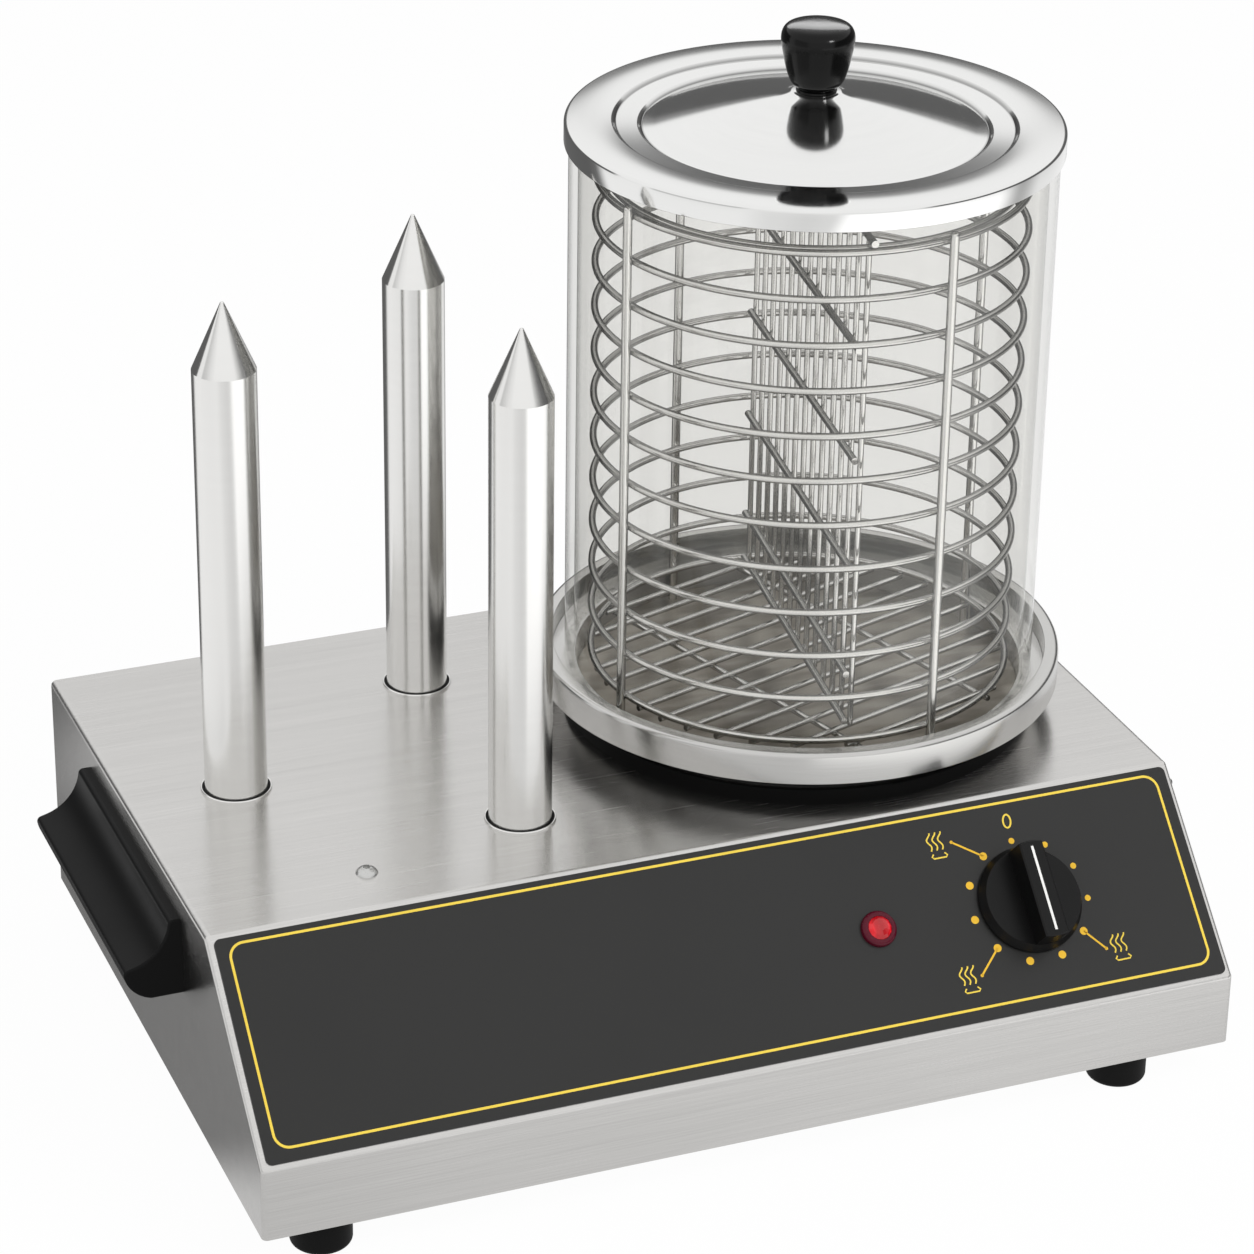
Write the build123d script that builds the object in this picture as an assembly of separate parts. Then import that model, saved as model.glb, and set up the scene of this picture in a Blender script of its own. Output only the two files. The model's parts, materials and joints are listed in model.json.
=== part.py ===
from build123d import *
import os
from math import atan2, cos, hypot, radians, sin

# Hot dog machine: a steam basket in a glass cylinder on the right, three heated spikes on the left.
# Millimetres, +Z up, +X to the operator's right, +Y to the back of the machine.
# The origin lies on the table, under the middle of the machine's outline.

# Casing
housing_width = 420.0
housing_depth = 300.0
housing_height = 98.0
band_height = 31.5          # upright band along the front, under the sloping panel
slope_run = 68.5            # how far the panel leans back
sheet = 1.2
bend_radius = 2.4           # outside of the folds
bottom_flange = 24.0        # edge turned in under the casing
rear_flange = 14.0          # edge turned in round the open back
bottom_sheet = 1.5
bottom_inset = 5.0
rear_sheet = 1.0
rear_inset = 3.0
vent_width = 4.0
vent_length = 40.0
vent_pitch = 12.0
vent_count = 7

# Feet
foot_radius = 12.5
foot_height = 13.5
foot_edge = 2.5
foot_inset_left = 28.0
foot_inset_right = 44.0
foot_inset_y = 15.0
foot_sink_radius = 5.0
foot_sink_depth = 6.0

# Every rounded crown ends in a small flat round its axis.
crown_flat = 0.25

# Fasteners
screw_radius = 2.0
screw_head_radius = 3.8
screw_head_height = 2.4
screw_length = 8.0
screw_spare = 2.0           # how far a foot's screw stands out of the casing's floor
driver_slot = 0.8
hole_clearance = 0.1
slide_clearance = 0.05
top_screw_head_radius = 4.6
top_screw_head_height = 2.6
top_screw_socket = 1.7
top_screw_socket_depth = 1.3

# Control panel
panel_side_margin = 2.8
panel_edge_margin = 2.0
panel_corner = 2.6
panel_film = 0.6
dial_x = 340.5              # from the casing's left side
lamp_x = 272.5
regulator_size = 46.0
regulator_depth = 32.0
regulator_bush_radius = 4.9
regulator_screw_pitch = 28.0
regulator_corner = 2.0
tab_width = 6.3
tab_sheet = 0.8
tab_length = 8.0
shaft_radius = 3.0
shaft_flat = 2.2            # from the shaft's axis to its flat
shaft_out = 16.0            # how far the shaft stands out of the panel
shaft_in = 24.0

# Control knob
knob_radius = 22.5
knob_face_radius = 20.6
knob_skirt = 5.0
knob_wall = 2.2
knob_grip_height = 18.5     # over the panel
knob_grip_width = 10.4
knob_hub_radius = 6.0
knob_rim = 1.2              # upright edge round the knob's foot
knob_edge = 0.6
hub_clearance = 0.3
knob_gap = 0.5              # between the knob's skirt and the panel
pointer_width = 1.1
pointer_length = 36.0
pointer_depth = 0.5

# Pilot lamp
lamp_bezel_radius = 7.6
lamp_bezel_height = 2.4
lamp_bezel_lip = 0.5
lamp_neck_radius = 5.9
lamp_lens_radius = 5.0
lamp_dome = 2.2
lamp_neck_length = 9.0
lamp_body_radius = 7.0
lamp_body_length = 18.0
lamp_tab_width = 4.8
lamp_tab_offset = 3.0

# Carrying handles
handle_start = 103.0        # from the casing's front
handle_length = 136.0
handle_low = 53.0           # over the casing's bottom edge
handle_height = 34.0
handle_reach = 24.0
handle_shoulder = 5.0
handle_lip = 14.0
handle_belly = 13.0
handle_wall = 3.5
handle_end_wall = 6.0
handle_lip_wall = 7.0
handle_nose = 4.0           # along the top of the lip
handle_nose_rise = 1.1
handle_scoop = 4.0          # depth of the hollow above the lip
handle_bulge = 3.0
handle_room_height = 25.0
handle_room_scoop = 1.9
handle_boss_radius = 5.0
handle_boss = 5.0
handle_screw_inset = 24.0
handle_round = 2.2
handle_end_round = 1.0

# Heated spikes
spike_radius = 13.0
spike_wall = 2.5
shank_step = 1.0            # the shank is this much thinner in radius
spike_length = 187.5        # straight tube over the casing
spike_cone = 28.5
spike_point = 0.9
spike_shank = 26.0          # tube under the casing's top
spike_spigot = 8.0
spike_left_x = 47.0
spike_pair_x = 148.0
spike_pair_pitch = 129.0
spike_row_y = 180.5
seal_band = 0.9
seal_lip = 0.8
seal_lip_width = 0.6
seal_flange = 3.0
seal_flange_height = 1.5
collar_radius = 20.0
collar_height = 6.0
spike_heater_radius = 5.0
spike_heater_length = 190.0
spike_plug_height = 8.0
spike_plug_rim = 2.0
heater_drop = 14.0          # heater under the end of the shank
heater_pin = 0.9
heater_pin_length = 9.0
heater_pin_offset = 2.2

# Tank stand and its heater
tank_x = 298.0
tank_y = 179.0
stand_room = 1.5            # from the tank's well to the stand's wall
stand_seat = 16.0           # width of the stand's foot on the casing
stand_height = 7.0
stand_wall = 2.5
stand_floor = 1.5
stand_edge = 0.8
plate_room = 0.3            # from the hot plate to the stand's wall
hot_plate_height = 5.5
ring_heater_radius = 60.0
ring_heater_tube = 4.0
ring_heater_turn = 320.0
ring_heater_end = 18.0
ring_heater_pin = 1.5
ring_heater_pin_length = 8.0
clamp_radius = 68.0
clamp_sheet = 1.5
stud_radius = 3.0
stud_nut_radius = 5.5
stud_nut_height = 5.0
stud_tail = 4.0
thermostat_radius = 8.0
thermostat_height = 9.0
thermostat_tab_offset = 4.0

# Water tank
tank_sheet = 0.8
tank_ledge_height = 13.4    # from the tank's underside to the ledge that carries the glass
tank_ledge_room = 5.5       # from the glass to the upstand round it
tank_rim_height = 22.6      # from the tank's underside to the top of its rim
tank_rim_width = 6.1
tank_skirt = 14.0
tank_rim_bend = 2.2

# Glass cylinder
glass_radius = 100.0
glass_wall = 4.0
glass_height = 240.0
glass_edge = 0.8

# Basket
basket_room = 1.2           # from the posts to the wall of the tank's well
basket_headroom = 22.0      # from the top ring to the top of the glass
ring_wire = 1.5
ring_count = 12
ring_low = 16.1             # lowest ring over the tank's floor
hoop_inset = 4.7            # from the top ring in to the divider's hoop
post_wire = 1.9
post_over = 5.0             # post tops over the middle of the top ring
wire_weld = 0.4             # how far two welded wires of one grid sink into each other
post_angle = 13.2           # turn of the four posts from the machine's own axes
floor_wire = 1.25
floor_pitch = 13.0
floor_turn = 18.0
floor_tie_offset = 36.0
divider_turn = -8.0
divider_wire = 1.2
divider_bar = 1.5
divider_room = 1.9          # from the grid's ends to the hoop
divider_wire_count = 13
divider_pitch = 48.0
divider_foot = 4.0          # clearance over the basket's floor

# Lid
lid_sheet = 0.8
lid_overhang = 2.0
lid_skirt = 9.0
lid_bend = 1.6
lid_rim_width = 19.4
lid_ring_width = 12.1
lid_step = 1.5
lid_step_run = 1.6
lid_cone_rise = 13.2        # from the foot of the cone to the foot of the flare
lid_cone_crown = 0.5
lid_flare_radius = 16.5
lid_flare_rise = 2.8
lid_flare_dip = 0.35
lid_top_flat = 10.2
knob_height = 28.6
knob_collar_radius = 8.4
knob_collar_height = 1.2
knob_neck_radius = 7.9
knob_foot_radius = 10.7
knob_foot_height = 4.2
knob_flank_radius = 12.5
knob_flank_height = 8.6
knob_breast_radius = 13.7
knob_breast_height = 15.2
knob_wide_radius = 15.0
knob_wide_height = 22.0
knob_brow_radius = 13.9
knob_brow_drop = 2.5        # from the knob's top
knob_crown_radius = 11.0
knob_crown_drop = 1.1
knob_screw_radius = 2.5
knob_screw_depth = 14.0
knob_screw_head = 5.0

# Wiring side
gland_radius = 9.5
gland_reach = 14.0          # from the casing's open back
gland_thread_radius = 7.5
gland_thread = 12.0
gland_bore = 4.2
gland_nut_radius = 11.0
gland_nut_height = 4.0
gland_collar_radius = 7.4
gland_flats = 5.6           # height of the gland's hexagon
gland_edge = 1.5
gland_x = 60.0
gland_z = 40.0
bracket_sheet = 1.5
bracket_width = 44.0
bracket_flange = 22.0
bracket_drop = 46.0
bracket_x = 75.0
bracket_y = 94.7
terminal_length = 38.0
terminal_height = 22.0
terminal_depth = 16.0
terminal_count = 4
terminal_hole = 2.6
terminal_rise = 3.0         # from the bracket's lower edge
terminal_slot = 3.0
earth_x = 90.0
earth_from_rear = 50.0
earth_height = 16.0
earth_nut = 3.2
earth_head = 1.8

# Places worked out from the sizes
base_z = foot_height + bottom_sheet
tank_well_radius = glass_radius - glass_wall
tank_ledge_radius = glass_radius + tank_ledge_room
tank_rim_radius = tank_ledge_radius + tank_rim_width
stand_radius = tank_well_radius + stand_room + stand_wall
opening_radius = stand_radius - stand_seat
ring_radius = tank_well_radius - tank_sheet - basket_room - 2 * post_wire - ring_wire - slide_clearance
hoop_radius = ring_radius - hoop_inset
lid_radius = glass_radius + lid_overhang
lid_step_radius = lid_radius - lid_rim_width
lid_ring_radius = lid_step_radius - lid_ring_width
shank_radius = spike_radius - shank_step
top_z = base_z + housing_height
left_x = -housing_width / 2
right_x = housing_width / 2
front_y = -(housing_depth + gland_reach) / 2
rear_y = front_y + housing_depth
slope_rise = housing_height - band_height
slope_angle = atan2(slope_rise, slope_run)
slope_length = hypot(slope_rise, slope_run)
column_x = left_x + tank_x
column_y = front_y + tank_y
stand_top = top_z + stand_floor + hot_plate_height
tank_floor = stand_top + tank_sheet
ledge_z = stand_top + tank_ledge_height
rim_z = stand_top + tank_rim_height
glass_top = ledge_z + glass_height
lid_top = glass_top + lid_sheet
dome_foot = lid_top - 2 * lid_step
dome_top = dome_foot + lid_cone_rise + lid_flare_rise
low_ring_z = tank_floor + ring_low
top_ring_z = glass_top - basket_headroom
ring_pitch = (top_ring_z - low_ring_z) / (ring_count - 1)
panel = Plane(
    origin=(0, front_y + slope_run / 2, base_z + band_height + slope_rise / 2),
    x_dir=(1, 0, 0),
    z_dir=(0, -sin(slope_angle), cos(slope_angle)),
)
dial = panel * Pos(left_x + dial_x, 0, 0)
lamp = panel * Pos(left_x + lamp_x, 0, 0)
spikes = {
    "left": (left_x + spike_left_x, front_y + spike_row_y),
    "rear": (left_x + spike_pair_x, front_y + spike_row_y + spike_pair_pitch / 2),
    "front": (left_x + spike_pair_x, front_y + spike_row_y - spike_pair_pitch / 2),
}


# An upright round solid between two heights.
def disc(radius, low, high, x=0.0, y=0.0):
    return Pos(x, y, (low + high) / 2) * Cylinder(radius, high - low)


def ring(outer, inner, low, high, x=0.0, y=0.0):
    return disc(outer, low, high, x, y) - disc(inner, low, high, x, y)


def block(low, high):
    size = [b - a for a, b in zip(low, high)]
    middle = [(a + b) / 2 for a, b in zip(low, high)]
    return Pos(*middle) * Box(*size)


# A hexagonal solid, its flats 2 x radius x cos 30 apart.
def hexagon(radius, low, high, x=0.0, y=0.0):
    return Pos(x, y, low) * extrude(RegularPolygon(radius, 6), amount=high - low)


# A solid turned from half of its section, drawn as edges in the XZ plane.
def turned(*edges):
    return revolve(make_face(Wire(list(edges))), Axis.Z)


# Straight edges through points given as (radius, height).
def section(*points):
    return Polyline(*[(r, 0, z) for r, z in points]).edges()


def bow(start, middle, end):
    return ThreePointArc(*[(r, 0, z) for r, z in (start, middle, end)])


# An arc whose middle stands off the chord by the given height, to the outside if it is positive.
def bulge(start, end, height):
    run, rise = end[0] - start[0], end[1] - start[1]
    reach = hypot(run, rise)
    middle = ((start[0] + end[0]) / 2 + height * rise / reach, (start[1] + end[1]) / 2 - height * run / reach)
    return bow(start, middle, end)


# A smooth curve through points given as (radius, height), with its directions at both ends.
def swept(points, first, last):
    ways = [(r, 0, z) for r, z in (first, last)]
    return Spline(*[(r, 0, z) for r, z in points], tangents=ways)


# A round wire between two points.
def rod(start, end, radius):
    line = Line(start, end)
    return sweep(Plane(origin=start, z_dir=line % 0) * Circle(radius), path=line)


# A screw whose head stands on z = 0 and whose shank goes down.
def screw(radius, head_radius, head_height, length):
    head = disc(head_radius, 0, head_height)
    head = fillet(head.edges().group_by(Axis.Z)[-1], head_height * 0.45)
    slot = Pos(0, 0, head_height * 0.75) * Box(head_radius * 1.2, driver_slot, head_height / 2)
    cross = slot + Rot(0, 0, 90) * slot
    return head + disc(radius, -length, 0) - cross


def feet_places():
    for y in (front_y + foot_inset_y, rear_y - foot_inset_y):
        yield left_x + foot_inset_left, y
        yield right_x - foot_inset_right, y


def vents(x, y):
    first = -(vent_count - 1) * vent_pitch / 2
    return [(x + first + i * vent_pitch, y) for i in range(vent_count)]


def side_profile(inset=0.0):
    outline = Polyline(
        (front_y, base_z),
        (front_y, base_z + band_height),
        (front_y + slope_run, top_z),
        (rear_y, top_z),
        (rear_y, base_z),
        close=True,
    )
    face = make_face(outline)
    if inset:
        face = offset(face, -inset, kind=Kind.INTERSECTION)
    return Plane.YZ * face


def casing_block(inset=0.0):
    body = extrude(side_profile(inset), amount=housing_width / 2 - inset, both=True)
    kept = [e for e in body.edges() if not lies_open(e, inset)]
    return fillet(kept, bend_radius - inset)


# Edges of the casing that aren't folds: those along the bottom and round the back.
def lies_open(edge, inset):
    box = edge.bounding_box()
    return box.max.Z < base_z + inset + 0.01 or box.min.Y > rear_y - inset - 0.01


def rear_screw_places():
    return [(x, z)
            for x in (left_x + rear_flange / 2, right_x - rear_flange / 2)
            for z in (base_z + housing_height * 0.25, base_z + housing_height * 0.75)]


def handle_screw_places():
    middle = base_z + handle_low + handle_height / 2
    return [(front_y + handle_start + y, middle)
            for y in (handle_screw_inset, handle_length - handle_screw_inset)]


def make_housing():
    shell = casing_block() - casing_block(sheet)
    window = block(
        (left_x + bottom_flange, front_y + bottom_flange, base_z),
        (right_x - bottom_flange, rear_y - bottom_flange, base_z + sheet),
    )
    back = block(
        (left_x + rear_flange, rear_y - sheet, base_z + rear_flange),
        (right_x - rear_flange, rear_y, top_z - rear_flange),
    )
    shell -= [window, back]
    hole = screw_radius + hole_clearance
    spike_hole = spike_radius + seal_band + slide_clearance
    cuts = [disc(spike_hole, top_z - sheet, top_z, x, y) for x, y in spikes.values()]
    cuts.append(disc(opening_radius, top_z - sheet, top_z, column_x, column_y))
    cuts.append(disc(hole, top_z - sheet, top_z, left_x + bracket_x, front_y + bracket_y))
    cuts += [disc(hole, base_z, base_z + sheet, x, y) for x, y in feet_places()]
    cuts.append(dial * Cylinder(regulator_bush_radius + hole_clearance, 3 * sheet))
    for x in (-regulator_screw_pitch / 2, regulator_screw_pitch / 2):
        cuts.append(dial * Pos(x, 0, 0) * Cylinder(hole, 3 * sheet))
    cuts.append(lamp * Cylinder(lamp_neck_radius + hole_clearance, 3 * sheet))
    for y, z in handle_screw_places():
        for x in (left_x, right_x):
            cuts.append(Pos(x, y, z) * Rot(0, 90, 0) * Cylinder(hole, 3 * sheet))
    for x, z in rear_screw_places():
        cuts.append(Pos(x, rear_y, z) * Rot(90, 0, 0) * Cylinder(hole, 3 * sheet))
    return shell - cuts


def make_bottom_plate():
    plate = block(
        (left_x + bottom_inset, front_y + bottom_inset, base_z - bottom_sheet),
        (right_x - bottom_inset, rear_y - bottom_inset, base_z),
    )
    hole = screw_radius + hole_clearance
    cuts = [disc(hole, base_z - bottom_sheet, base_z, x, y) for x, y in feet_places()]
    cuts.append(disc(hole, base_z - bottom_sheet, base_z, left_x + earth_x, rear_y - earth_from_rear))
    for x in (housing_width * -0.22, housing_width * 0.22):
        for spot in vents(x, front_y + housing_depth / 2):
            slot = Pos(*spot, base_z - bottom_sheet / 2) * Box(vent_width, vent_length, bottom_sheet)
            cuts.append(fillet(slot.edges().filter_by(Axis.Z), vent_width * 0.45))
    return plate - cuts


def make_rear_panel():
    low_z = base_z + rear_inset
    high_z = top_z - rear_inset
    plate = block(
        (left_x + rear_inset, rear_y, low_z),
        (right_x - rear_inset, rear_y + rear_sheet, high_z),
    )
    plate = fillet(plate.edges().filter_by(Axis.Y), 3 * rear_sheet)
    cuts = []
    for x, z in rear_screw_places():
        hole = Cylinder(screw_radius + hole_clearance, 3 * rear_sheet)
        cuts.append(Pos(x, rear_y, z) * Rot(90, 0, 0) * hole)
    gland = Cylinder(gland_thread_radius + hole_clearance, 3 * rear_sheet)
    cuts.append(gland_place() * gland)
    for x, z in vents(housing_width * 0.2, base_z + housing_height * 0.5):
        slot = Pos(x, rear_y + rear_sheet / 2, z) * Box(vent_width, rear_sheet, vent_length)
        cuts.append(fillet(slot.edges().filter_by(Axis.Y), vent_width * 0.45))
    return plate - cuts


# The gland's axis points backwards out of the rear panel, with z = 0 on the casing's open back.
def gland_place():
    return Plane(origin=(left_x + gland_x, rear_y, base_z + gland_z), x_dir=(1, 0, 0), z_dir=(0, 1, 0))


def make_cable_gland():
    collar = disc(gland_collar_radius, rear_sheet, gland_reach)
    collar = fillet(collar.edges().group_by(Axis.Z)[-1], gland_edge)
    body = collar + hexagon(gland_radius, rear_sheet, rear_sheet + gland_flats)
    body += disc(gland_thread_radius, rear_sheet - gland_thread, rear_sheet)
    return gland_place() * (body - disc(gland_bore, rear_sheet - gland_thread, gland_reach))


def make_gland_nut():
    nut = hexagon(gland_nut_radius, -gland_nut_height, 0)
    return gland_place() * (nut - disc(gland_thread_radius + slide_clearance, -gland_nut_height, 0))


def make_foot(x, y):
    foot = disc(foot_radius, 0, foot_height)
    foot = fillet(foot.edges().group_by(Axis.Z)[0], foot_edge)
    foot -= disc(foot_sink_radius, 0, foot_sink_depth)
    foot -= disc(screw_radius + hole_clearance, foot_sink_depth, foot_height)
    return Pos(x, y, 0) * foot


def make_foot_screws():
    grip = foot_height - foot_sink_depth + bottom_sheet + sheet + screw_spare
    one = Rot(180, 0, 0) * screw(screw_radius, screw_head_radius, screw_head_height, grip)
    return [Pos(x, y, foot_sink_depth) * one for x, y in feet_places()]


def make_case_screws():
    one = Rot(-90, 0, 0) * screw(screw_radius, screw_head_radius, screw_head_height, screw_length)
    return [Pos(x, rear_y + rear_sheet, z) * one for x, z in rear_screw_places()]


def make_control_panel():
    width = housing_width - 2 * panel_side_margin
    height = slope_length - 2 * panel_edge_margin
    film = extrude(RectangleRounded(width, height, panel_corner), amount=panel_film)
    film = panel * film
    tall = 4 * panel_film
    film -= dial * Cylinder(regulator_bush_radius + hole_clearance, tall)
    for x in (-regulator_screw_pitch / 2, regulator_screw_pitch / 2):
        film -= dial * Pos(x, 0, 0) * Cylinder(screw_radius + hole_clearance, tall)
    film -= lamp * Cylinder(lamp_neck_radius + hole_clearance, tall)
    return film


def make_energy_regulator():
    half = regulator_size / 2
    case = block((-half, -half, -sheet - regulator_depth), (half, half, -sheet))
    case = fillet(case.edges().filter_by(Axis.Z), regulator_corner)
    case += disc(regulator_bush_radius, -sheet, panel_film)
    for x in (-half * 0.5, 0, half * 0.5):
        case += Pos(x, 0, -sheet - regulator_depth) * Box(tab_width, tab_sheet, 2 * tab_length)
    case -= disc(shaft_radius + slide_clearance, -shaft_in - slide_clearance, panel_film)
    for x in (-regulator_screw_pitch / 2, regulator_screw_pitch / 2):
        case -= disc(screw_radius + hole_clearance, -screw_length, -sheet, x)
    return dial * case


def make_regulator_screws():
    one = screw(screw_radius, screw_head_radius * 0.9, screw_head_height * 0.8, screw_length - 0.5)
    places = (-regulator_screw_pitch / 2, regulator_screw_pitch / 2)
    return [dial * Pos(x, 0, panel_film) * one for x in places]


# The shaft has a flat from the panel's face outwards, on the side away from the pointer.
def shaft_solid(clearance=0.0, low=-shaft_in, high=shaft_out):
    radius = shaft_radius + clearance
    flat = block((-radius, -radius - 1, 2 * panel_film), (radius, -shaft_flat - clearance, high + 1))
    return disc(radius, low, high) - flat


def make_regulator_shaft():
    return dial * shaft_solid()


def knob_base():
    return panel_film + knob_gap


def make_control_knob():
    low = knob_base()
    face = low + knob_skirt
    skirt = turned(
        *section((0, low), (knob_radius, low), (knob_radius, low + knob_rim), (knob_face_radius, face),
                 (0, face), (0, low)))
    outline = Rectangle(knob_grip_width, 2 * knob_radius) & Circle(knob_face_radius)
    grip = extrude(outline, amount=knob_grip_height)
    grip = chamfer(grip.edges().group_by(Axis.Z)[-1], knob_edge)
    body = skirt + (grip - disc(knob_radius, 0, low))
    room = disc(knob_radius - 2 * knob_wall, low, face - knob_wall)
    hub = disc(knob_hub_radius, low, face)
    body = body - room + (hub - disc(regulator_bush_radius + hub_clearance, low, low + knob_gap))
    body -= shaft_solid(slide_clearance, 0, shaft_out + slide_clearance)
    return dial * (body - pointer_solid())


def pointer_solid():
    return block((-pointer_width / 2, -pointer_length / 2, knob_grip_height - pointer_depth),
                 (pointer_width / 2, pointer_length / 2, knob_grip_height))


def make_knob_pointer():
    return dial * pointer_solid()


def make_pilot_bezel():
    top = panel_film + lamp_bezel_height
    edge = (lamp_bezel_radius, panel_film + lamp_bezel_height * 0.4)
    lip = (lamp_lens_radius + lamp_bezel_lip, top)
    crown = ((edge[0] + lip[0]) / 2 + lamp_bezel_lip, top - lamp_bezel_height * 0.15)
    flange = turned(
        *section((lamp_lens_radius, panel_film), (lamp_bezel_radius, panel_film), edge),
        bow(edge, crown, lip),
        *section(lip, (lamp_lens_radius, top), (lamp_lens_radius, panel_film)))
    neck = ring(lamp_neck_radius, lamp_lens_radius, -lamp_neck_length, panel_film)
    return lamp * (flange + neck)


def make_pilot_lens():
    radius = lamp_lens_radius - slide_clearance
    top = panel_film + lamp_bezel_height
    dome = turned(
        *section((0, -lamp_neck_length), (radius, -lamp_neck_length), (radius, top)),
        bow((radius, top), (radius * 0.6, top + lamp_dome * 0.72), (crown_flat, top + lamp_dome)),
        *section((crown_flat, top + lamp_dome), (0, top + lamp_dome), (0, -lamp_neck_length)))
    return lamp * dome


def make_pilot_body():
    low = -lamp_neck_length - lamp_body_length
    body = disc(lamp_body_radius, low, -lamp_neck_length)
    body = chamfer(body.edges().group_by(Axis.Z)[0], 1.0)
    for x in (-lamp_tab_offset, lamp_tab_offset):
        body += Pos(x, 0, low) * Box(tab_sheet, lamp_tab_width, 2 * tab_length)
    return lamp * body


# The handle's side face, as (distance out of the casing, height over the handle's foot).
def handle_face():
    shoulder = (handle_shoulder, handle_height)
    scoop_low = (handle_reach - handle_nose, handle_lip + handle_nose_rise)
    nose = (handle_reach, handle_lip)
    heel = (handle_belly, 0)
    top = Polyline((0, 0), (0, handle_height), shoulder)
    scoop = SagittaArc(shoulder, scoop_low, -handle_scoop)
    lip = Line(scoop_low, nose)
    belly = SagittaArc(nose, heel, handle_bulge)
    face = make_face(Wire(list(top.edges()) + [scoop, lip, belly, Line(heel, (0, 0))]))
    corners = [v for v in face.vertices() if any(is_at(v, place) for place in (shoulder, nose, heel))]
    return fillet(corners, handle_round)


def is_at(vertex, place):
    return hypot(vertex.X - place[0], vertex.Y - place[1]) < 0.01


# The hollow behind the lip, open at the bottom for the fingers.
def handle_room():
    low = -1.0
    high = (handle_wall, handle_room_height)
    inner = handle_reach - handle_lip_wall
    scoop_low = (inner, handle_lip - handle_wall / 2)
    scoop = SagittaArc(high, scoop_low, -handle_room_scoop)
    walls = Polyline(scoop_low, (inner, low), (handle_wall, low), high)
    return make_face(Wire([scoop] + list(walls.edges())))


def make_handle(side):
    plane = Plane(origin=(0, 0, 0), x_dir=(-1, 0, 0), z_dir=(0, 1, 0))
    half = extrude(plane * handle_face(), amount=handle_length / 2)
    half = fillet(handle_end_outline(half), handle_end_round)
    body = half + mirror(half, about=Plane(origin=(0, handle_length / 2, 0), z_dir=(0, 1, 0)))
    room = extrude(plane * handle_room(), amount=handle_length - 2 * handle_end_wall)
    body -= Pos(0, handle_end_wall, 0) * room
    low_z = base_z + handle_low
    for y, z in handle_screw_places():
        axis = Pos(0, y - front_y - handle_start, z - low_z) * Rot(0, -90, 0)
        boss = axis * disc(handle_boss_radius, handle_wall, handle_wall + handle_boss)
        hole = axis * disc(screw_radius + hole_clearance, 0, handle_wall + handle_boss - 1)
        body = body + boss - hole
    body = Pos(left_x, front_y + handle_start, low_z) * body
    return body if side < 0 else mirror(body, about=Plane.YZ)


# The outline of the handle's front end, apart from the edge that lies on the casing.
def handle_end_outline(body):
    chosen = []
    for edge in body.edges():
        box = edge.bounding_box()
        if box.max.Y < 0.01 and box.min.X < -0.01:
            chosen.append(edge)
    return chosen


def make_handle_screws():
    one = screw(screw_radius, screw_head_radius, screw_head_height, sheet + handle_wall + handle_boss - 2)
    solids = []
    for y, z in handle_screw_places():
        solids.append(Pos(left_x + sheet, y, z) * Rot(0, 90, 0) * one)
        solids.append(Pos(right_x - sheet, y, z) * Rot(0, -90, 0) * one)
    return solids


# The tube narrows to a shank that passes through the casing, so that its shoulder sits on the bush.
def make_spike_tube(x, y):
    low = top_z - sheet - spike_shank
    shoulder = top_z + seal_lip
    high = top_z + spike_length
    bore = spike_radius - spike_wall
    tube = turned(*section((bore, low), (shank_radius, low), (shank_radius, shoulder),
                           (spike_radius, shoulder), (spike_radius, high), (bore, high), (bore, low)))
    return Pos(x, y, 0) * tube


def make_spike_tip(x, y):
    low = top_z + spike_length
    high = low + spike_cone
    lean = atan2(spike_cone, spike_radius)
    round_r = spike_point * sin(lean)
    round_z = high - spike_point * (1 - cos(lean))
    spigot = spike_radius - spike_wall - slide_clearance
    tip = turned(
        *section((0, low - spike_spigot), (spigot, low - spike_spigot), (spigot, low),
                 (spike_radius, low), (round_r, round_z)),
        bow((round_r, round_z), (round_r * 0.6, high - spike_point * 0.22), (crown_flat, high)),
        *section((crown_flat, high), (0, high), (0, low - spike_spigot)))
    return Pos(x, y, 0) * tip


# A heat-proof bush: it centres the tube in its hole and shows as a thin lip on the casing.
def make_spike_seal(x, y):
    inner = shank_radius + slide_clearance
    outer = spike_radius + seal_band
    seal = ring(outer, inner, top_z - sheet, top_z, x, y)
    seal += ring(outer + seal_lip_width, inner, top_z, top_z + seal_lip, x, y)
    return seal + ring(outer + seal_flange, inner, top_z - sheet - seal_flange_height, top_z - sheet, x, y)


def make_spike_collar(x, y):
    high = top_z - sheet - seal_flange_height
    inner = shank_radius + slide_clearance
    nut = hexagon(collar_radius, high - collar_height, high, x, y)
    return nut - disc(inner, high - collar_height, high, x, y)


def make_spike_heater(x, y):
    low = top_z - sheet - spike_shank - heater_drop
    rod_solid = disc(spike_heater_radius, low, low + spike_heater_length, x, y)
    rod_solid = fillet(rod_solid.edges().group_by(Axis.Z)[-1], spike_heater_radius * 0.4)
    for side in (-heater_pin_offset, heater_pin_offset):
        rod_solid += disc(heater_pin, low - heater_pin_length, low, x + side, y)
    return rod_solid


def make_spike_plug(x, y):
    low = top_z - sheet - spike_shank
    outer = spike_radius - spike_wall - slide_clearance
    inner = spike_heater_radius + slide_clearance
    plug = ring(outer, inner, low, low + spike_plug_height, x, y)
    return plug + ring(shank_radius, inner, low - spike_plug_rim, low, x, y)


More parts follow.
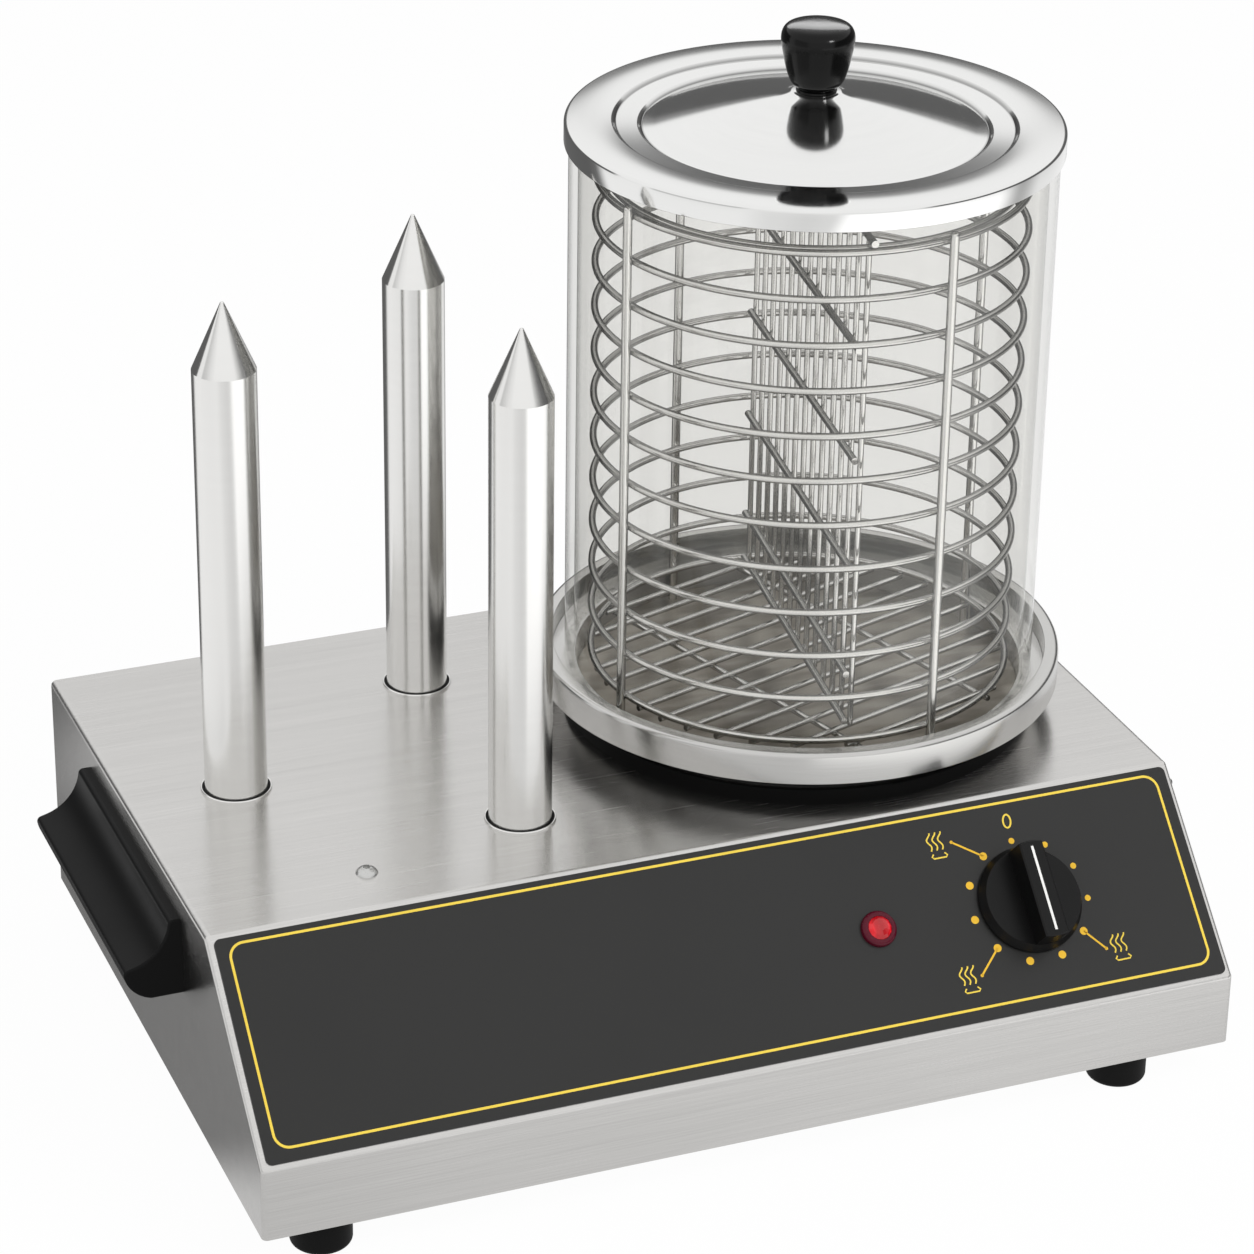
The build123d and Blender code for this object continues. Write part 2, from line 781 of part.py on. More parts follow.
def make_top_screw():
    head = turned(
        *section((0, 0), (top_screw_head_radius, 0)),
        bow((top_screw_head_radius, 0), (top_screw_head_radius * 0.66, top_screw_head_height * 0.72),
            (crown_flat, top_screw_head_height)),
        *section((crown_flat, top_screw_head_height), (0, top_screw_head_height), (0, 0)))
    shank = disc(screw_radius, -screw_length, 0)
    socket_low = top_screw_head_height - top_screw_socket_depth
    socket = hexagon(top_screw_socket, socket_low, 2 * top_screw_head_height)
    return Pos(left_x + bracket_x, front_y + bracket_y, top_z) * (head + shank - socket)


def make_terminal_bracket():
    x = left_x + bracket_x
    y = front_y + bracket_y
    high = top_z - sheet
    half = bracket_width / 2
    flange = block((x - half, y - bracket_flange / 2, high - bracket_sheet),
                   (x + half, y + bracket_flange / 2, high))
    web = block((x - half, y + bracket_flange / 2 - bracket_sheet, high - bracket_drop),
                (x + half, y + bracket_flange / 2, high))
    hole = disc(screw_radius + hole_clearance, high - bracket_sheet, high, x, y)
    return flange + web - hole


def make_terminal_block():
    x = left_x + bracket_x
    y = front_y + bracket_y + bracket_flange / 2
    middle = top_z - sheet - bracket_drop + terminal_height / 2 + terminal_rise
    body = Pos(x, y + terminal_depth / 2, middle) * Box(terminal_length, terminal_depth, terminal_height)
    pitch = terminal_length / terminal_count
    for i in range(terminal_count):
        spot = x - terminal_length / 2 + (i + 0.5) * pitch
        slot = Box(pitch * 0.66, terminal_slot, terminal_height * 0.45)
        body -= Pos(spot, y + terminal_depth - terminal_slot / 2, middle) * slot
        body -= Pos(spot, y + terminal_depth / 2, middle) * Cylinder(terminal_hole, terminal_height)
    return body


def make_earth_stud():
    x = left_x + earth_x
    y = rear_y - earth_from_rear
    under = base_z - bottom_sheet
    stud = disc(screw_radius, under - earth_head / 2, base_z + earth_height, x, y)
    nut = hexagon(2 * screw_radius, base_z, base_z + earth_nut, x, y)
    head = disc(screw_head_radius, under - earth_head, under, x, y)
    return stud + nut + head


def make_support_collar():
    wall = ring(stand_radius, stand_radius - stand_wall, top_z, top_z + stand_height)
    floor = ring(stand_radius, opening_radius, top_z, top_z + stand_floor)
    return Pos(column_x, column_y, 0) * fillet((wall + floor).edges().group_by(Axis.Z)[-1], stand_edge)


def make_hot_plate():
    radius = stand_radius - stand_wall - plate_room
    plate = disc(radius, top_z + stand_floor, stand_top, column_x, column_y)
    return chamfer(plate.edges().group_by(Axis.Z)[-1], stand_edge)


def heater_middle():
    return top_z + stand_floor - ring_heater_tube - slide_clearance


def make_ring_heater():
    middle = heater_middle()
    path = CenterArc((0, 0, middle), ring_heater_radius, 0, ring_heater_turn)
    tube = sweep(Plane(origin=path @ 0, z_dir=path % 0) * Circle(ring_heater_tube), path=path)
    end_radius = ring_heater_tube * 1.1
    for spot in (path @ 0, path @ 1):
        tube += disc(end_radius, middle - ring_heater_end, middle + ring_heater_tube, spot.X, spot.Y)
        low = middle - ring_heater_end
        tube += disc(ring_heater_pin, low - ring_heater_pin_length, low, spot.X, spot.Y)
    gap = (360 - ring_heater_turn) / 2
    return Pos(column_x, column_y, 0) * Rot(0, 0, gap + 90) * tube


def clamp_top():
    return heater_middle() - ring_heater_tube - slide_clearance


def make_heater_clamp():
    high = clamp_top()
    plate = disc(clamp_radius, high - clamp_sheet, high) - disc(
        stud_radius + hole_clearance, high - clamp_sheet, high)
    gap = (360 - ring_heater_turn) / 2
    notch = block((-ring_heater_radius * 0.5, 0, high - clamp_sheet),
                  (ring_heater_radius * 0.5, clamp_radius, high))
    wedge = Pos(0, ring_heater_radius * cos(radians(gap)) - ring_heater_tube - 1.5, 0) * notch
    return Pos(column_x, column_y, 0) * (plate - wedge)


def make_clamp_bolt():
    high = clamp_top() - clamp_sheet
    bolt = disc(stud_radius, high - stud_nut_height - stud_tail, top_z + stand_floor)
    bolt += hexagon(stud_nut_radius, high - stud_nut_height, high)
    return Pos(column_x, column_y, 0) * bolt


def make_limit_thermostat():
    high = clamp_top() - clamp_sheet
    body = disc(thermostat_radius, high - thermostat_height, high)
    body = chamfer(body.edges().group_by(Axis.Z)[0], 1.0)
    for x in (-thermostat_tab_offset, thermostat_tab_offset):
        body += Pos(x, 0, high - thermostat_height) * Box(tab_sheet, tab_width, 2 * tab_length)
    return Pos(column_x - clamp_radius / 2, column_y, 0) * body


# One sheet, pressed: floor, well, ledge for the glass, upstand, flat rim and a skirt outside.
def make_water_tank():
    well = tank_well_radius
    inner = well - tank_sheet
    bend = tank_rim_bend
    under = rim_z - tank_sheet
    skirt_low = rim_z - tank_skirt
    up_out = tank_ledge_radius + tank_sheet
    small = bend - tank_sheet
    turn = sin(radians(45))
    body = turned(
        *section((0, stand_top), (well, stand_top), (well, ledge_z - tank_sheet),
                 (up_out, ledge_z - tank_sheet), (up_out, under),
                 (tank_rim_radius - bend, under)),
        bow((tank_rim_radius - bend, under),
            (tank_rim_radius - bend + small * turn, rim_z - bend + small * turn),
            (tank_rim_radius - tank_sheet, rim_z - bend)),
        *section((tank_rim_radius - tank_sheet, rim_z - bend), (tank_rim_radius - tank_sheet, skirt_low),
                 (tank_rim_radius, skirt_low), (tank_rim_radius, rim_z - bend)),
        bow((tank_rim_radius, rim_z - bend),
            (tank_rim_radius - bend + bend * turn, rim_z - bend + bend * turn),
            (tank_rim_radius - bend, rim_z)),
        *section((tank_rim_radius - bend, rim_z), (tank_ledge_radius, rim_z),
                 (tank_ledge_radius, ledge_z), (inner, ledge_z), (inner, tank_floor), (0, tank_floor),
                 (0, stand_top)))
    return Pos(column_x, column_y, 0) * body


def make_glass_cylinder():
    tube = ring(glass_radius, glass_radius - glass_wall, ledge_z, glass_top)
    return Pos(column_x, column_y, 0) * fillet(tube.edges().filter_by(GeomType.CIRCLE), glass_edge)


# The basket's rings, and inside the top one the smaller hoop that carries the divider.
def make_basket_rings():
    rings = [Pos(column_x, column_y, low_ring_z + i * ring_pitch) * Torus(ring_radius, ring_wire)
             for i in range(ring_count)]
    return rings + [Pos(column_x, column_y, top_ring_z) * Torus(hoop_radius, ring_wire)]


def make_basket_posts():
    middle = ring_radius + ring_wire + slide_clearance + post_wire
    post = disc(post_wire, tank_floor, top_ring_z + post_over, -middle)
    post = fillet(post.edges().group_by(Axis.Z)[-1], post_wire * 0.9)
    return [Pos(column_x, column_y, 0) * Rot(0, 0, 90 + post_angle + 90 * k) * post for k in range(4)]


def floor_height():
    return low_ring_z - ring_wire - floor_wire - slide_clearance


def make_basket_floor():
    bars = []
    count = int(ring_radius / floor_pitch)
    for i in range(-count, count + 1):
        offset_y = i * floor_pitch
        reach = (ring_radius ** 2 - offset_y ** 2) ** 0.5
        bars.append(rod((-reach, offset_y, 0), (reach, offset_y, 0), floor_wire))
    tie_z = -2 * floor_wire + wire_weld
    ties = []
    for x in (-floor_tie_offset, floor_tie_offset):
        reach = (ring_radius ** 2 - x ** 2) ** 0.5
        ties.append(rod((x, -reach, tie_z), (x, reach, tie_z), floor_wire))
    grid = ties[0]
    grid += ties[1:] + bars
    return Pos(column_x, column_y, floor_height()) * Rot(0, 0, floor_turn) * grid


# A flat wire grid. Its top bar rests on the basket's top ring and on the hoop inside that.
def make_basket_divider():
    hang = top_ring_z + ring_wire + divider_bar + slide_clearance
    low = floor_height() + floor_wire + divider_foot
    top_bar = rod((0, -ring_radius, hang), (0, ring_radius, hang), divider_bar)
    side = divider_wire + divider_bar - wire_weld
    bars = []
    reach = hoop_radius - ring_wire - divider_room
    for i in range(1, 1 + int((hang - low) / divider_pitch)):
        z = hang - i * divider_pitch
        bars.append(rod((-side, -reach, z), (-side, reach, z), divider_bar))
    foot = low + divider_bar
    bars.append(rod((-side, -reach, foot), (-side, reach, foot), divider_bar))
    pitch = 2 * reach / (divider_wire_count - 1)
    for i in range(divider_wire_count):
        y = -reach + i * pitch
        bars.append(rod((0, y, low), (0, y, hang), divider_wire))
    grid = top_bar
    grid += bars
    return Pos(column_x, column_y, 0) * Rot(0, 0, divider_turn) * grid


# Half section of the lid's upper face, from the top of its skirt inwards to the flat at the knob.
def lid_line(drop):
    radius = lid_radius - drop
    bend = max(lid_bend - drop, 0.3)
    z = lid_top - drop
    turn = sin(radians(45))
    inner_step = lid_ring_radius + lid_step_run
    foot = dome_foot - drop
    apex = dome_top - drop
    edges = [bow((radius, z - bend), (radius - bend + bend * turn, z - bend + bend * turn),
                 (radius - bend, z))]
    edges += section(
        (radius - bend, z), (lid_step_radius, z), (lid_step_radius - lid_step_run, z - lid_step),
        (inner_step, z - lid_step), (lid_ring_radius, foot))
    flare = (lid_flare_radius, foot + lid_cone_rise)
    edges.append(bulge((lid_ring_radius, foot), flare, lid_cone_crown))
    edges.append(bulge(flare, (lid_top_flat, apex), -lid_flare_dip))
    edges += section((lid_top_flat, apex), (0, apex))
    return edges, (radius, z - bend), (0, apex)


def make_lid():
    upper, upper_rim, upper_apex = lid_line(0)
    lower, lower_rim, lower_apex = lid_line(lid_sheet)
    skirt_low = lid_top - lid_skirt
    rim = section(upper_rim, (upper_rim[0], skirt_low), (lower_rim[0], skirt_low), lower_rim)
    body = turned(*upper, *section(upper_apex, lower_apex), *lower, *rim)
    body -= disc(knob_screw_radius + hole_clearance, lid_top - lid_skirt, dome_top)
    return Pos(column_x, column_y, 0) * body


# The knob's flank rises to its widest place, and from there its brow turns in to the crown.
def make_lid_knob():
    neck = (knob_neck_radius, dome_top + knob_collar_height)
    wide = (knob_wide_radius, dome_top + knob_wide_height)
    high = dome_top + knob_height
    flank = swept([
        neck,
        (knob_foot_radius, dome_top + knob_foot_height),
        (knob_flank_radius, dome_top + knob_flank_height),
        (knob_breast_radius, dome_top + knob_breast_height),
        wide,
    ], (1, 1), (0, 1))
    brow = swept([
        wide,
        (knob_brow_radius, high - knob_brow_drop),
        (knob_crown_radius, high - knob_crown_drop),
        (crown_flat, high),
    ], (0, 1), (-1, 0))
    body = turned(
        *section((0, dome_top), (knob_collar_radius, dome_top), (knob_collar_radius, neck[1]), neck),
        flank,
        brow,
        *section((crown_flat, high), (0, high), (0, dome_top)))
    body -= disc(knob_screw_radius + slide_clearance, dome_top, dome_top + knob_screw_depth)
    return Pos(column_x, column_y, 0) * body


def make_lid_screw():
    one = Rot(180, 0, 0) * screw(
        knob_screw_radius, knob_screw_head, screw_head_height, lid_sheet + knob_screw_depth - 1)
    return Pos(column_x, column_y, dome_top - lid_sheet) * one


def build_nodes():
    nodes = {
        "housing": make_housing(),
        "rear_panel": make_rear_panel(),
        "bottom_plate": make_bottom_plate(),
        "foot_screws": make_foot_screws(),
        "case_screws": make_case_screws(),
        "control_panel": make_control_panel(),
        "energy_regulator": make_energy_regulator(),
        "regulator_screws": make_regulator_screws(),
        "regulator_shaft": make_regulator_shaft(),
        "control_knob": make_control_knob(),
        "knob_pointer": make_knob_pointer(),
        "pilot_lens": make_pilot_lens(),
        "pilot_bezel": make_pilot_bezel(),
        "pilot_body": make_pilot_body(),
        "handle_left": make_handle(-1),
        "handle_right": make_handle(1),
        "handle_screws": make_handle_screws(),
        "top_screw": make_top_screw(),
        "terminal_bracket": make_terminal_bracket(),
        "terminal_block": make_terminal_block(),
        "earth_stud": make_earth_stud(),
        "cable_gland": make_cable_gland(),
        "gland_nut": make_gland_nut(),
        "support_collar": make_support_collar(),
        "hot_plate": make_hot_plate(),
        "ring_heater": make_ring_heater(),
        "heater_clamp": make_heater_clamp(),
        "clamp_bolt": make_clamp_bolt(),
        "limit_thermostat": make_limit_thermostat(),
        "water_tank": make_water_tank(),
        "glass_cylinder": make_glass_cylinder(),
        "basket_rings": make_basket_rings(),
        "basket_posts": make_basket_posts(),
        "basket_floor": make_basket_floor(),
        "basket_divider": make_basket_divider(),
        "lid": make_lid(),
        "lid_knob": make_lid_knob(),
        "lid_screw": make_lid_screw(),
    }
    corners = ("front_left", "front_right", "rear_left", "rear_right")
    for corner, (x, y) in zip(corners, feet_places()):
        nodes["foot_" + corner] = make_foot(x, y)
    for side, (x, y) in spikes.items():
        nodes[f"spike_{side}_tube"] = make_spike_tube(x, y)
        nodes[f"spike_{side}_tip"] = make_spike_tip(x, y)
        nodes[f"spike_{side}_seal"] = make_spike_seal(x, y)
        nodes[f"spike_{side}_collar"] = make_spike_collar(x, y)
        nodes[f"spike_{side}_heater"] = make_spike_heater(x, y)
        nodes[f"spike_{side}_plug"] = make_spike_plug(x, y)
    return nodes


os.makedirs("parts", exist_ok=True)
for name, shape in build_nodes().items():
    solids = shape if isinstance(shape, list) else [shape]
    found = [s for piece in solids for s in piece.solids()]
    export_step(found[0] if len(found) == 1 else Compound(children=found), f"parts/{name}.step")
    print(name, len(found), round(sum(s.volume for s in found), 1))
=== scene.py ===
import bmesh
import bpy
from math import atan2, cos, pi, radians, sin
from mathutils import Matrix, Vector
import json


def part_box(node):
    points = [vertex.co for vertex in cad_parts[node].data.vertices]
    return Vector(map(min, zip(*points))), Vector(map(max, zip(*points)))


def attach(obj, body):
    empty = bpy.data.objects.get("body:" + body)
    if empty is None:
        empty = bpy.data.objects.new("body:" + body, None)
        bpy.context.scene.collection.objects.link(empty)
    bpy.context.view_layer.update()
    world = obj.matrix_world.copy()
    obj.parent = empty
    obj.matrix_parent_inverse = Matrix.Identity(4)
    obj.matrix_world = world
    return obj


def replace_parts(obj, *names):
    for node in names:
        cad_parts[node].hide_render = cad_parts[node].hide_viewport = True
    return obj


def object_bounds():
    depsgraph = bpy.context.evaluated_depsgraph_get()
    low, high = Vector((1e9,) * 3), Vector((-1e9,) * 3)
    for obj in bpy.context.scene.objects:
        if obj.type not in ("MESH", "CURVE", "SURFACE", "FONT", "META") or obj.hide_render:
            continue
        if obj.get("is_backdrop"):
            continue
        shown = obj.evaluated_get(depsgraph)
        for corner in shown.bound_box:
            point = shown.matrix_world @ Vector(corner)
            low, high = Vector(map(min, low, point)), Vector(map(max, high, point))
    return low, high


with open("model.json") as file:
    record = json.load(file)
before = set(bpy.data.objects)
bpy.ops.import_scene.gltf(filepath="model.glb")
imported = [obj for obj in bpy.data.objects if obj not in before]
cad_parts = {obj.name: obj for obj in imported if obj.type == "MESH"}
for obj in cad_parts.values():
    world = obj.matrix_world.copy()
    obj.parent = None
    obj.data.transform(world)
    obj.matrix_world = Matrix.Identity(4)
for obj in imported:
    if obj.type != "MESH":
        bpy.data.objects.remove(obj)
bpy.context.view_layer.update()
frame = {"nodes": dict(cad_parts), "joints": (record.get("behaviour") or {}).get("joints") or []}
nodes = frame["nodes"]

MM = 0.001

# The camera stands to the front left of the machine and looks down on it.
view_azimuth = 21.93
view_elevation = 26.47
view_roll = 0.87
view_distance = 1738 * MM
view_target = Vector((-22.7, -57.0, 200.7)) * MM
view_lens = 124.97
sensor = 36.0


def middle(node):
    low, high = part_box(node)
    return (low + high) / 2


joints = {joint["name"]: joint for joint in frame["joints"]}
column = middle("glass_cylinder")
dial = Vector(joints["knob_turn"]["pos_m"])
panel_out = Vector(joints["knob_turn"]["axis"]).normalized()
panel_up = Vector((0, panel_out.z, -panel_out.y))
panel_right = Vector((1, 0, 0))
top_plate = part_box("housing")[1].z
spike_names = ("left", "rear", "front")
lamp_spot = Vector((middle("pilot_lens").x, dial.y, dial.z))


# A socket with Python's operators: an expression on values adds its Math nodes.
class Value:
    def __init__(self, paint, socket):
        self.paint = paint
        self.socket = socket

    def __add__(self, other):
        return self.paint.maths("ADD", self, other)

    def __radd__(self, other):
        return self.paint.maths("ADD", other, self)

    def __sub__(self, other):
        return self.paint.maths("SUBTRACT", self, other)

    def __rsub__(self, other):
        return self.paint.maths("SUBTRACT", other, self)

    def __mul__(self, other):
        return self.paint.maths("MULTIPLY", self, other)

    def __rmul__(self, other):
        return self.paint.maths("MULTIPLY", other, self)

    def __truediv__(self, other):
        return self.paint.maths("DIVIDE", self, other)

    def __lt__(self, other):
        return self.paint.maths("LESS_THAN", self, other)


# A node tree that is written as expressions.
class Paint:
    def __init__(self, owner):
        owner.use_nodes = True
        self.owner = owner
        self.tree = owner.node_tree
        self.tree.nodes.clear()

    def feed(self, socket, value):
        if isinstance(value, Value):
            self.tree.links.new(value.socket, socket)
        elif isinstance(value, (tuple, list, Vector)) and len(socket.default_value) == 4:
            socket.default_value = (*value, 1.0)[:4]
        else:
            socket.default_value = value

    def node(self, kind, settings=None, sockets=None, out=0):
        made = self.tree.nodes.new("ShaderNode" + kind)
        for name, setting in (settings or {}).items():
            if name == "stops":
                self.set_stops(made.color_ramp, setting)
            elif name == "ease":
                made.color_ramp.interpolation = setting
            else:
                setattr(made, name, setting)
        for key, value in (sockets or {}).items():
            self.feed(made.inputs[key], value)
        return Value(self, made.outputs[out])

    def set_stops(self, ramp, stops):
        while len(ramp.elements) < len(stops):
            ramp.elements.new(1.0)
        for element, (place, shade) in zip(ramp.elements, stops):
            element.position = place
            element.color = (*shade, 1.0) if isinstance(shade, tuple) else (shade, shade, shade, 1.0)

    def maths(self, operation, *values):
        return self.node("Math", {"operation": operation}, dict(enumerate(values)))

    def ramp(self, factor, stops, ease="LINEAR"):
        return self.node("ValToRGB", {"stops": stops, "ease": ease}, {"Fac": factor})

    def blend(self, factor, first, second):
        return self.node("Mix", {"data_type": "RGBA"}, {0: factor, 6: first, 7: second}, out=2)

    def place(self):
        return self.node("TexCoord", out="Object")

    def scaled(self, vector, factors):
        return self.node("VectorMath", {"operation": "MULTIPLY"}, {0: vector, 1: factors})

    def split(self, vector):
        parts = self.node("SeparateXYZ", None, {0: vector}).socket.node.outputs
        return [Value(self, part) for part in parts]

    def joined(self, x, y, z):
        return self.node("CombineXYZ", None, {0: x, 1: y, 2: z})

    def noise(self, vector, scale=1.0, detail=2.0, rough=0.5):
        sockets = {"Vector": vector, "Scale": scale, "Detail": detail, "Roughness": rough}
        return self.node("TexNoise", None, sockets)

    # Place round an upright axis, as metres round the ring, metres from the axis and height.
    def round_place(self, axis, ring):
        x, y, z = self.split(self.place())
        x, y = x - axis.x, y - axis.y
        radius = self.maths("SQRT", x * x + y * y)
        angle = self.maths("ARCTAN2", y, x)
        return angle * ring, radius, z

    # Noise drawn out into lines round an upright axis, at a place that round_place gives.
    def ring_lines(self, spot, along, across, detail=2.0, rough=0.5):
        around, radius, height = spot
        vector = self.joined(around * along, radius * across, height * across)
        return self.noise(vector, detail=detail, rough=rough)

    def bump(self, height, strength, distance):
        sockets = {"Height": height, "Strength": strength, "Distance": distance}
        return self.node("Bump", None, sockets, out="Normal")

    # The main shader. A socket's name has underscores for its spaces.
    def surface(self, **sockets):
        return self.node("BsdfPrincipled", None, {name.replace("_", " "): v for name, v in sockets.items()})

    # One where the camera looks, also through glass, and one where a reflection does.
    def rays(self):
        outputs = self.node("LightPath").socket.node.outputs
        camera, through_glass, glossy = (
            Value(self, outputs[name]) for name in ("Is Camera Ray", "Is Transmission Ray", "Is Glossy Ray"))
        return self.maths("MAXIMUM", camera, through_glass), glossy

    def finish(self, shader):
        kind = "OutputWorld" if isinstance(self.owner, bpy.types.World) else "OutputMaterial"
        output = self.tree.nodes.new("ShaderNode" + kind)
        self.feed(output.inputs["Surface"], shader)
        return self.owner


def new_paint(name):
    return Paint(bpy.data.materials.new(name))


# Sheet steel with fine lines along the machine's width. The lines spread reflections across themselves.
def brushed_sheet(name, shade, roughness):
    paint = new_paint(name)
    place = paint.place()
    fine = paint.noise(paint.scaled(place, (18, 2600, 2600)), detail=3.0, rough=0.62)
    broad = paint.noise(paint.scaled(place, (3, 160, 160)), detail=2.0)
    soft = paint.noise(paint.scaled(place, (7, 7, 7)), detail=2.0)
    tone = 0.74 + fine * 0.26 + broad * 0.10 + soft * 0.02
    color = paint.blend(tone, (0, 0, 0), shade)
    rough = roughness + (fine - 0.5) * 0.14 + (soft - 0.5) * 0.05
    normal = paint.bump(fine, 0.5, 0.00002)
    return paint.finish(paint.surface(Base_Color=color, Metallic=1.0, Roughness=rough, Normal=normal,
                                      Anisotropic=0.75, Anisotropic_Rotation=0.25))


# Steel finished on a lathe or a polishing wheel, with lines round an upright axis.
def turned_steel(name, axis, shade, roughness, ring):
    paint = new_paint(name)
    spot = paint.round_place(axis, ring)
    fine = paint.ring_lines(spot, 30, 3000, detail=3.0, rough=0.6)
    broad = paint.ring_lines(spot, 6, 220)
    color = paint.blend(0.93 + fine * 0.07 + broad * 0.05, (0, 0, 0), shade)
    rough = roughness + (fine - 0.5) * 0.10 + (broad - 0.5) * 0.05
    normal = paint.bump(fine, 0.2, 0.00001)
    return paint.finish(paint.surface(Base_Color=color, Metallic=1.0, Roughness=rough, Normal=normal,
                                      Anisotropic=0.6, Anisotropic_Rotation=0.25))


# Plain, plated and machined metal with a faint grain.
def bright_metal(name, shade, roughness, grain=900.0):
    paint = new_paint(name)
    speck = paint.noise(paint.place(), scale=grain, detail=3.0)
    cloud = paint.noise(paint.place(), scale=grain / 12, detail=2.0)
    color = paint.blend(0.90 + speck * 0.08 + cloud * 0.06, (0, 0, 0), shade)
    rough = roughness + (speck - 0.5) * 0.12 + (cloud - 0.5) * 0.08
    normal = paint.bump(speck, 0.12, 0.00002)
    return paint.finish(paint.surface(Base_Color=color, Metallic=1.0, Roughness=rough, Normal=normal))


# Polished wire. Where it turns away, a darker metal stands for the dark things that it would mirror.
def drawn_wire(name, bright, dark, roughness):
    paint = new_paint(name)
    speck = paint.noise(paint.place(), scale=500.0, detail=3.0)
    cloud = paint.noise(paint.place(), scale=42.0, detail=2.0)
    tone = 0.92 + speck * 0.06 + cloud * 0.06
    rough = roughness + (speck - 0.5) * 0.10 + (cloud - 0.5) * 0.06
    normal = paint.bump(speck, 0.12, 0.00002)

    def metal(shade):
        color = paint.blend(tone, (0, 0, 0), shade)
        return paint.surface(Base_Color=color, Metallic=1.0, Roughness=rough, Normal=normal)

    turned_away = paint.node("LayerWeight", None, {"Blend": 0.5}, out="Facing")
    shares = [(0.0, 0.0), (0.22, 0.12), (0.45, 0.62), (0.70, 0.80), (1.0, 1.0)]
    share = paint.ramp(turned_away, shares, "EASE")
    return paint.finish(paint.node("MixShader", None, {0: share, 1: metal(bright), 2: metal(dark)}))


# Moulded plastic and rubber: a fine grain and a faint cloudiness.
def moulding(name, shade, roughness, grain=0.1, coat=0.0, shine=0.2):
    paint = new_paint(name)
    place = paint.place()
    pebbles = paint.noise(place, scale=2600.0, detail=2.0)
    cloud = paint.noise(place, scale=38.0, detail=3.0)
    color = paint.blend(0.80 + cloud * 0.40, (0, 0, 0), shade)
    rough = roughness + (cloud - 0.5) * 0.10 + (pebbles - 0.5) * 0.06
    normal = paint.bump(pebbles, grain, 0.00003)
    return paint.finish(paint.surface(Base_Color=color, Roughness=rough, Normal=normal,
                                      Specular_IOR_Level=shine, Coat_Weight=coat, Coat_Roughness=0.08))


def printed_film(name, shade, roughness):
    paint = new_paint(name)
    place = paint.place()
    grain = paint.noise(place, scale=2400.0, detail=2.0)
    cloud = paint.noise(place, scale=14.0, detail=2.0)
    color = paint.blend(0.86 + cloud * 0.26, (0, 0, 0), shade)
    rough = roughness + (grain - 0.5) * 0.10
    normal = paint.bump(grain, 0.08, 0.00002)
    return paint.finish(paint.surface(Base_Color=color, Roughness=rough, Normal=normal,
                                      Specular_IOR_Level=0.35))


# Clear glass: it lets the view straight through and mirrors the room more where it turns away.
def clear_glass():
    paint = new_paint("clear_glass")
    haze = paint.noise(paint.scaled(paint.place(), (12, 12, 3)), detail=3.0)
    turned_away = paint.node("LayerWeight", None, {"Blend": 0.5}, out="Facing")
    shares = [(0.0, 0.03), (0.55, 0.045), (0.78, 0.12), (0.90, 0.42), (0.97, 0.9), (1.0, 1.0)]
    share = paint.ramp(turned_away, shares, "EASE")
    mirror = paint.surface(Base_Color=(0.93, 0.94, 0.93), Metallic=1.0, Roughness=0.02 + haze * 0.02)
    passing = paint.node("BsdfTransparent", None, {"Color": (0.935, 0.933, 0.925)})
    return paint.finish(paint.node("MixShader", None, {0: share, 1: passing, 2: mirror}))


# The lens is red, darkest in its middle and lit a little from behind.
def lamp_red():
    paint = new_paint("lamp_red")
    half_width = 5 * MM
    across = paint.split(paint.place())[0] - lamp_spot.x
    from_middle = paint.maths("ABSOLUTE", across) / half_width
    tone = paint.ramp(from_middle, [(0.0, 0.30), (0.45, 0.45), (0.75, 1.0), (1.0, 0.8)], "EASE")
    cloud = paint.noise(paint.place(), scale=700.0, detail=2.0)
    color = paint.blend(tone * (0.8 + cloud * 0.4), (0, 0, 0), (0.55, 0.002, 0.010))
    return paint.finish(paint.surface(Base_Color=color, Roughness=0.12, Emission_Color=(0.8, 0.004, 0.012),
                                      Emission_Strength=0.30, Coat_Weight=0.3, Coat_Roughness=0.08))


# Painted shade on the lid's steel: how bright it is at each distance from its axis, in millimetres, darker in
# thin lines where its steps turn.
lid_reach = 110.0
lid_crease_shade = [(0.0, 1.0), (69.74, 1.0), (70.51, 0.25), (71.39, 0.9), (72.16, 1.0), (80.63, 1.0),
               (81.29, 0.35), (82.28, 0.8), (82.83, 1.0)]


# The lid's polished steel, with painted shade in thin dark lines where its steps turn.
def lid_steel(name, axis):
    paint = new_paint(name)
    spot = paint.round_place(axis, 0.1)
    fine = paint.ring_lines(spot, 30, 3000, detail=3.0, rough=0.6)
    broad = paint.ring_lines(spot, 6, 220)
    # Painted shade: the steel is darkened in thin rings where the lid's steps turn.
    crease = paint.ramp(spot[1] / (lid_reach * MM), [(r / lid_reach, shade) for r, shade in lid_crease_shade])
    color = paint.blend((0.94 + fine * 0.05 + broad * 0.04) * crease, (0, 0, 0), (0.84, 0.84, 0.83))
    rough = 0.09 + (fine - 0.5) * 0.05 + (broad - 0.5) * 0.04
    normal = paint.bump(fine, 0.08, 0.00001)
    return paint.finish(paint.surface(Base_Color=color, Metallic=1.0, Roughness=rough, Normal=normal,
                                      Anisotropic=0.3, Anisotropic_Rotation=0.25))
